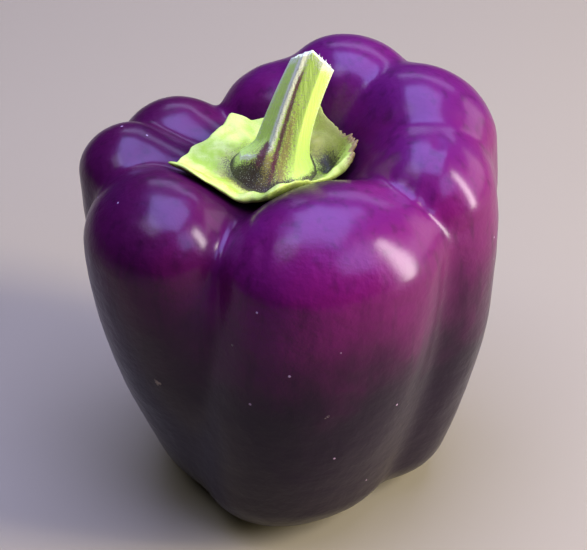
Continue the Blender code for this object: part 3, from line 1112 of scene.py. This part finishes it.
    def faces(self, x: Values, y: Values) -> tuple[Values, Values]:
        """Heights of the leaf over each place inside the outline.

        Args:
            x: the places' distances to the right.
            y: the places' distances to the back.

        Returns:
            The heights of the underside and those of the top.
        """
        azimuth, share = self.polar(x, y)
        curl = np.full_like(azimuth, self.rim_lift)
        for sepal in self.outline:
            curl += sepal.curl * bump(turn_between(azimuth, sepal.azimuth), 9)
        under = self.bed(x, y) + self.gap + curl * share**5
        thinning = self.middle_thickness - self.rim_thickness
        thickness = self.rim_thickness + thinning * (1 - share**2)
        inward = np.clip((1 - share) / self.rounding, 0, 1)
        narrowing = 0.5 * self.rim_thickness * (1 - np.sqrt(inward * (2 - inward)))
        return under + narrowing, under + thickness - narrowing + self.relief(azimuth, share)

    def marks(self, x: Values, y: Values) -> dict[str, Values]:
        """Where the leaf is veined, olive, stained and torn; the olive also lies round the stem's foot as
        painted shade.

        Args:
            x: the places' distances to the right.
            y: the places' distances to the back.

        Returns:
            For each of those marks, a share from 0 to 1 at each place.
        """
        azimuth, share = self.polar(x, y)
        beyond = np.hypot(x - self.centre[0], y - self.centre[1]) - self.foot_radius
        vein = np.zeros_like(azimuth)
        for sepal in self.outline:
            if sepal.curl:
                vein = np.maximum(vein, bump(turn_between(azimuth, sepal.azimuth), 5))
        rim = ease(share, 0.88, 0.98)
        front = bump(turn_between(azimuth, -5), 75)
        stain = ease(beyond, 3.2 * MM, 0.2 * MM) * (0.25 + 0.8 * front)
        pocket = self.pocket_stain.rise * self.pocket_stain.cover(azimuth, share)
        # Painted shade in olive round the stem's foot, strongest towards the left.
        painted_foot_shade = ease(beyond, 6 * MM, 1 * MM) * (0.25 + 0.3 * bump(turn_between(azimuth, -60), 50))
        flap = bump(turn_between(azimuth, 122), 32) * ease(share, 0.45, 0.6)
        fold = bump(turn_between(azimuth, 78), 15) * ease(share, 0.78, 0.85)
        return {
            "vein": np.maximum(np.maximum(vein * ease(share, 0.4, 0.7), rim * 0.8), fold),
            # The olive mark carries the side flap and that painted shade.
            "olive": np.maximum(1.3 * painted_foot_shade, flap) * (1 - fold),
            "stain": np.maximum(stain, pocket) * (1 - fold),
            "torn": 1.2 * self.torn(azimuth) * ease(share, 0.9, 0.98),
        }

    def build(self, slide: Points) -> bpy.types.Object:
        """Builds the calyx: a flattened sphere laid over the sunken top.

        Args:
            slide: the slide from the fruit's own axis on to the frame.

        Returns:
            The piece.
        """
        mesh = sphere(self.segments, self.rings)
        unit = positions(mesh)
        azimuth = azimuth_of(unit[:, 0], unit[:, 1])
        polar = np.degrees(np.arccos(np.clip(unit[:, 2], -1, 1)))
        share = (1 - np.abs(polar - 90) / 90) ** 0.8
        reach = self.reach(azimuth) * share
        x = self.centre[0] + reach * np.sin(np.radians(azimuth))
        y = self.centre[1] - reach * np.cos(np.radians(azimuth))
        under, top = self.faces(x, y)
        rim = np.abs(polar - 90) < 90 / self.rings
        height = np.where(rim, (under + top) / 2, np.where(polar < 90, top, under))
        place(mesh, np.stack([x, y, height], axis=1) + slide)
        piece = finish("calyx_saucer", mesh, self.leaf.material(), self.marks(x, y))
        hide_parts("calyx")
        return piece


# ---------------------------------------------------------------- stem


@dataclass(frozen=True)
class Rib:
    """One rib up the stem."""

    azimuth: float
    rise: float
    width: float
    pale: float  # how whitish it is, from 0 to 1


@dataclass
class Stem:
    """The stem: a ribbed, leaning column with a spread foot and a ragged slanting cut."""

    calyx: Calyx
    stalk: RibbedStalk = field(default_factory=RibbedStalk)
    length: float = 29.5 * MM
    radius: float = 5.3 * MM
    cut_radius: float = 4.2 * MM
    flare: float = 5.0 * MM  # height over which the foot narrows on the right
    ledge: float = 3.6 * MM  # height of the foot's ledge on the left
    ledge_climb: float = 2.4 * MM  # how much higher it is at the front
    ledge_ruggedness: float = 0.5 * MM
    batter: float = 0.3  # share by which its wall leans in below it
    shoulder: float = 5.0 * MM  # height over which the ledge slopes in to the column
    lean: tuple[float, float] = (8.5 * MM, 1.5 * MM)
    bend: float = 0.35  # share of the lean that comes late, as a curve
    cut_left: float = 0.35  # rise of the cut from its left edge to its middle
    cut_right: float = 1.0  # fall from there to its right edge
    cut_back: float = 0.5  # fall to the back
    sink: float = 0.3 * MM  # how far the foot goes into the calyx that it grows from
    cut_raggedness: float = 0.4 * MM
    segments: int = 216
    rings: int = 200
    foot_share: float = 0.08  # share of the rings that closes the foot
    cut_share: float = 0.12  # share of the rings that closes the cut
    crowding: float = 1.3  # above 1, more of the rings lie near the foot
    fibre_count: int = 26
    fibre_azimuths: tuple[float, float] = (-60, 160)
    fibre_places: tuple[float, float] = (0.86, 0.99)  # as shares of the cut's radius
    fibre_lengths: tuple[float, float] = (0.4 * MM, 1.2 * MM)
    fibre_tilts: tuple[float, float] = (-0.2, 0.8)  # inwards, and outwards
    fibre_radii: tuple[float, float] = (0.10 * MM, 0.20 * MM)
    fibre_tip: float = 0.03 * MM
    fibre_sink: float = 0.3 * MM
    ribs: tuple[Rib, ...] = (
        Rib(-160, 0.30 * MM, 8, 0.5),
        Rib(-95, 0.30 * MM, 8, 0.4),
        Rib(-27, 0.40 * MM, 9, 1.0),
        Rib(30, 0.20 * MM, 9, 0.0),
        Rib(86, 0.25 * MM, 8, 0.3),
        Rib(142, 0.30 * MM, 8, 0.5),
    )

    def faceting(self, azimuth: Values) -> Values:
        """How far in the flat faces between ribs stand.

        Args:
            azimuth: the directions asked about.

        Returns:
            A share of the radius for each azimuth.
        """
        turn = turn_between(azimuth, 0)
        corners = np.array([rib.azimuth for rib in self.ribs])
        after = np.searchsorted(corners, turn)
        before = corners[after - 1] - 360 * (after == 0)
        beyond = corners[after % len(corners)] + 360 * (after == len(corners))
        half, middle = (beyond - before) / 2, (beyond + before) / 2
        return np.cos(np.radians(half)) / np.cos(np.radians(turn - middle))

    def column(self, azimuth: Values, level: Values) -> Values:
        """The column's radius.

        Args:
            azimuth: the directions asked about.
            level: the shares of the height that go with them.

        Returns:
            One radius for each of them.
        """
        height = level * self.length
        left = bump(turn_between(azimuth, -74), 38)
        ledge = self.ledge_height(azimuth)
        slope = np.clip((ledge + self.shoulder - height) / self.shoulder, 0, 1) ** 1.7
        wall = 1 - self.batter * np.clip(height / ledge, 0, 1)
        spread = left * np.minimum(slope, wall)
        spread += (1 - left) * np.exp(-height / self.flare)
        upper = self.radius + (self.cut_radius - self.radius) * level
        upper = upper * (0.35 + 0.65 * self.faceting(azimuth)) * 1.04
        radius = upper + (self.calyx.foot_radius - upper) * spread
        for rib in self.ribs:
            rise = rib.rise * (1 - 0.5 * spread)
            radius = radius + rise * bump(turn_between(azimuth, rib.azimuth), rib.width)
        return radius

    def ledge_height(self, azimuth: Values) -> Values:
        """Height of the ledge, which climbs towards the front and is ragged.

        Args:
            azimuth: the directions asked about.

        Returns:
            One height for each azimuth.
        """
        angle = np.radians(azimuth)
        circle = np.stack([np.cos(angle), np.sin(angle), np.zeros_like(angle)], axis=1)
        ragged = self.ledge_ruggedness * rough(circle, 0.16, 2)
        return self.ledge + self.ledge_climb * ease(azimuth, -85, -40) + ragged

    def axis(self, level: Values) -> tuple[Values, Values]:
        """Middle of the column at each share of the height."""
        share = (1 - self.bend) * level + self.bend * level**2
        return self.calyx.centre[0] + self.lean[0] * share, self.calyx.centre[1] + self.lean[1] * share

    def cut_height(self, right: Values, back: Values) -> Values:
        """Height of the slanting cut.

        Args:
            right: distances to the right of the column's middle.
            back: distances to the back of it.

        Returns:
            One height for each of them.
        """
        middle = self.calyx.faces(np.array([self.calyx.centre[0]]), np.array([self.calyx.centre[1]]))
        ridge = np.where(right < 0, self.cut_left * right, -self.cut_right * right)
        return middle[1][0] + self.length + ridge - self.cut_back * back

    def shape(self, unit: Points) -> tuple[Points, dict[str, Values]]:
        """Places a unit sphere's points as the stem, and marks its streaks and stains.

        Args:
            unit: points of a unit sphere.

        Returns:
            Where those points go, and the marks at each.
        """
        azimuth = azimuth_of(unit[:, 0], unit[:, 1])
        up = 1 - np.arccos(np.clip(unit[:, 2], -1, 1)) / math.pi
        wall_share = 1 - self.foot_share - self.cut_share
        level = np.clip((up - self.foot_share) / wall_share, 0, 1) ** self.crowding
        inward = np.minimum(np.minimum(up / self.foot_share, (1 - up) / self.cut_share), 1.0)
        radius = self.column(azimuth, level) * inward
        right = radius * np.sin(np.radians(azimuth))
        back = -radius * np.cos(np.radians(azimuth))
        axis_x, axis_y = self.axis(level)
        foot_x, foot_y = self.calyx.centre[0] + right, self.calyx.centre[1] + back
        seat = self.calyx.faces(foot_x, foot_y)[1] - self.sink
        flat = np.stack([right, back, np.zeros_like(right)], axis=1)
        ragged = rough(flat, 0.9 * MM, 3)
        cut = self.cut_height(right, back) + self.cut_raggedness * ragged * ease(level, 0.93, 1.0)
        height = seat + (cut - seat) * level
        points = np.stack([axis_x + right, axis_y + back, height], axis=1)
        return points, self.marks(azimuth, level, up, points)

    def marks(self, azimuth: Values, level: Values, up: Values, points: Points) -> dict[str, Values]:
        """Where the stalk is ribbed, freckled, streaked, stained, lit and cut, and where its ledge has a
        painted highlight.

        Args:
            azimuth: direction of each point from the axis.
            level: its share of the height.
            up: its share of the way from pole to pole.
            points: its place.

        Returns:
            For each of those marks, a share from 0 to 1 at each point.
        """
        height = level * self.length
        pale = np.zeros_like(azimuth)
        for rib in self.ribs:
            turn = turn_between(azimuth, rib.azimuth)
            pale = np.maximum(pale, rib.pale * bump(turn, 9) + rib.pale * bump(turn, 20) * level**3)
        # Painted highlight: the lip of the ledge on the left is painted whitish, in the ribs' colour.
        left = bump(turn_between(azimuth, -64), 24)
        above = height - self.ledge_height(azimuth)
        ledge = 1.3 * left * bump(above - 0.5 * MM, 0.6 * MM)
        wander = azimuth + 4 * rough(points, 6 * MM)
        streak = bump(turn_between(wander, -9), 6) * ease(level, 0.95, 0.8)
        second = 1.2 * bump(turn_between(wander, -36), 8) * ease(height, 11 * MM, 9 * MM)
        third = 0.8 * bump(turn_between(wander, 160), 6) * ease(level, 0.8, 0.5)
        freckle = bump(turn_between(wander, 8), 13) * ease(level, 0.9, 0.3)
        foot = bump(turn_between(wander, -24), 40) * ease(height, 11 * MM, 5 * MM)
        lit = ease(azimuth, 6, 34) * ease(azimuth, 150, 110)
        lit = np.maximum(lit, 0.7 * ease(azimuth, -40, -60) * ease(azimuth, -150, -110))
        # Darker on the wall under the ledge on the left, and round the very foot.
        stain = ease(above, 1.2 * MM, -3.4 * MM) * 1.1 * bump(turn_between(azimuth, -50), 42)
        stain = np.maximum(stain, ease(height, 3.4 * MM, 0.4 * MM))
        return {
            # The rib mark also carries the ledge's painted highlight.
            "rib": np.maximum(pale * ease(height, 7 * MM, 9 * MM), ledge),
            "freckle": np.maximum(0.8 * freckle, 0.95 * foot) * (1 - np.minimum(ledge, 1)),
            "streak": np.maximum(np.maximum(streak, second), third) * (1 - 0.6 * stain),
            "stain": stain * (1 - np.minimum(ledge, 1)),
            "lit": lit,
            # The pale band below the cut is stronger on the lit side, as painted light.
            "cut": np.maximum(ease(up, 0.885, 0.9), ease(level, 0.9, 0.99) * (0.35 + 0.4 * lit)),
        }

    def build(self, slide: Points) -> bpy.types.Object:
        """Builds the stem.

        Args:
            slide: the slide from the fruit's own axis on to the frame.

        Returns:
            The piece.
        """
        mesh = sphere(self.segments, self.rings)
        points, marks = self.shape(positions(mesh))
        place(mesh, points + slide)
        piece = finish("stem_stalk", mesh, self.stalk.material(), marks)
        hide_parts("stem")
        return piece

    def build_fibres(self, slide: Points) -> bpy.types.Object:
        """Builds the torn fibres that stand up round the cut.

        Args:
            slide: the slide from the fruit's own axis on to the frame.

        Returns:
            The piece.
        """
        draw = random.Random(7)
        mesh = bmesh.new()
        axis_x, axis_y = self.axis(np.array([1.0]))
        for _ in range(self.fibre_count):
            azimuth = draw.uniform(*self.fibre_azimuths)
            edge = float(self.column(np.array([azimuth]), np.array([1.0]))[0])
            foot = heading(azimuth) * edge * draw.uniform(*self.fibre_places)
            length = draw.uniform(*self.fibre_lengths)
            tilt = Vector(heading(azimuth) * draw.uniform(*self.fibre_tilts) + [0, 0, 1]).normalized()
            turn = tilt.to_track_quat("Z", "Y").to_matrix().to_4x4()
            z = float(self.cut_height(foot[0], foot[1]))
            base = Vector((axis_x[0] + foot[0], axis_y[0] + foot[1], z)) + Vector(slide)
            bmesh.ops.create_cone(
                mesh,
                cap_ends=True,
                segments=6,
                radius1=draw.uniform(*self.fibre_radii),
                radius2=self.fibre_tip,
                depth=length,
                matrix=Matrix.Translation(base + tilt * (length / 2 - self.fibre_sink)) @ turn,
            )
        marks = {"cut": np.ones(len(mesh.verts))}
        return finish("cut_fibres", mesh, self.stalk.material(), marks)


# ---------------------------------------------------------------- studio


@dataclass(frozen=True)
class Softbox:
    """A soft rectangular light that faces the pepper."""

    name: str
    azimuth: float
    elevation: float
    distance: float
    width: float
    height: float
    power: float  # in watts
    colour: str


@dataclass
class Studio:
    """Paper sweep, soft lights and the camera."""

    paper: PaperSweep = field(default_factory=PaperSweep)
    floor_size: float = 6.0
    aim: tuple[float, float, float] = (0.0, 0.0, 50 * MM)
    camera_distance: float = 420 * MM
    camera_elevation: float = 38.0
    lens: float = 109.8  # focal length in millimetres
    sensor_width: float = 36.0  # in millimetres
    shift: tuple[float, float] = (0.006, 0.017)
    ambient: str = "#DDE3EC"
    ambient_strength: float = 0.02
    softboxes: tuple[Softbox, ...] = (
        Softbox("window", 78, 22, 0.75, 0.16, 0.75, 14.1, "#FFF6EE"),
        Softbox("side", 112, 16, 0.8, 0.5, 0.36, 1.66, "#FFEFF0"),
        Softbox("sky", 170, 84, 0.62, 0.52, 0.56, 10.8, "#A8AEFF"),
        Softbox("sky_right", 46, 47, 0.75, 0.3, 0.3, 2.4, "#A8AEFF"),
        Softbox("sky_back", 168, 36, 0.9, 0.8, 0.18, 2.05, "#C8CCFF"),
        Softbox("fill", -60, 64, 0.9, 0.4, 0.3, 1.66, "#E6E6FF"),
    )

    def direction(self, azimuth: float, elevation: float) -> Vector:
        """Unit vector towards an azimuth and elevation."""
        level = Vector(heading(azimuth)) * math.cos(math.radians(elevation))
        return level + Vector((0, 0, math.sin(math.radians(elevation))))

    def build_floor(self) -> None:
        """Lays the paper."""
        mesh = bmesh.new()
        bmesh.ops.create_grid(mesh, x_segments=1, y_segments=1, size=self.floor_size / 2)
        data = bpy.data.meshes.new("paper_floor")
        mesh.to_mesh(data)
        mesh.free()
        data.materials.append(self.paper.material())
        floor = bpy.data.objects.new("paper_floor", data)
        bpy.context.scene.collection.objects.link(floor)

    def build_lights(self) -> None:
        """Hangs the softboxes and sets the room's even light."""
        for box in self.softboxes:
            data = bpy.data.lights.new(box.name, "AREA")
            data.shape = "RECTANGLE"
            data.size, data.size_y = box.width, box.height
            data.energy = box.power
            data.color = linear(box.colour)[:3]
            light = bpy.data.objects.new(box.name, data)
            towards = self.direction(box.azimuth, box.elevation)
            light.location = Vector(self.aim) + towards * box.distance
            light.rotation_euler = towards.to_track_quat("Z", "Y").to_euler()
            bpy.context.scene.collection.objects.link(light)
        world = bpy.data.worlds.new("room")
        world.use_nodes = True
        background = world.node_tree.nodes["Background"]
        background.inputs["Color"].default_value = linear(self.ambient)
        background.inputs["Strength"].default_value = self.ambient_strength
        bpy.context.scene.world = world

    def build_camera(self) -> None:
        """Sets the camera in front of the pepper, looking down on it."""
        data = bpy.data.cameras.new("camera")
        data.lens = self.lens
        data.sensor_width = self.sensor_width
        data.shift_x, data.shift_y = self.shift
        camera = bpy.data.objects.new("camera", data)
        towards = self.direction(0, self.camera_elevation)
        camera.location = Vector(self.aim) + towards * self.camera_distance
        camera.rotation_euler = towards.to_track_quat("Z", "Y").to_euler()
        bpy.context.scene.collection.objects.link(camera)
        bpy.context.scene.camera = camera
        bpy.context.scene.view_settings.view_transform = "Standard"


def main() -> None:
    """Builds the pepper and the studio round it."""
    logging.basicConfig(level=logging.INFO)
    skin = Skin()
    _, slide = Fruit(skin=skin).build()
    calyx = Calyx(top=SunkenTop(skin))
    calyx.build(slide)
    stem = Stem(calyx=calyx)
    stem.build(slide)
    stem.build_fibres(slide)
    studio = Studio()
    studio.build_floor()
    studio.build_lights()
    studio.build_camera()


if __name__ == "__main__":
    main()
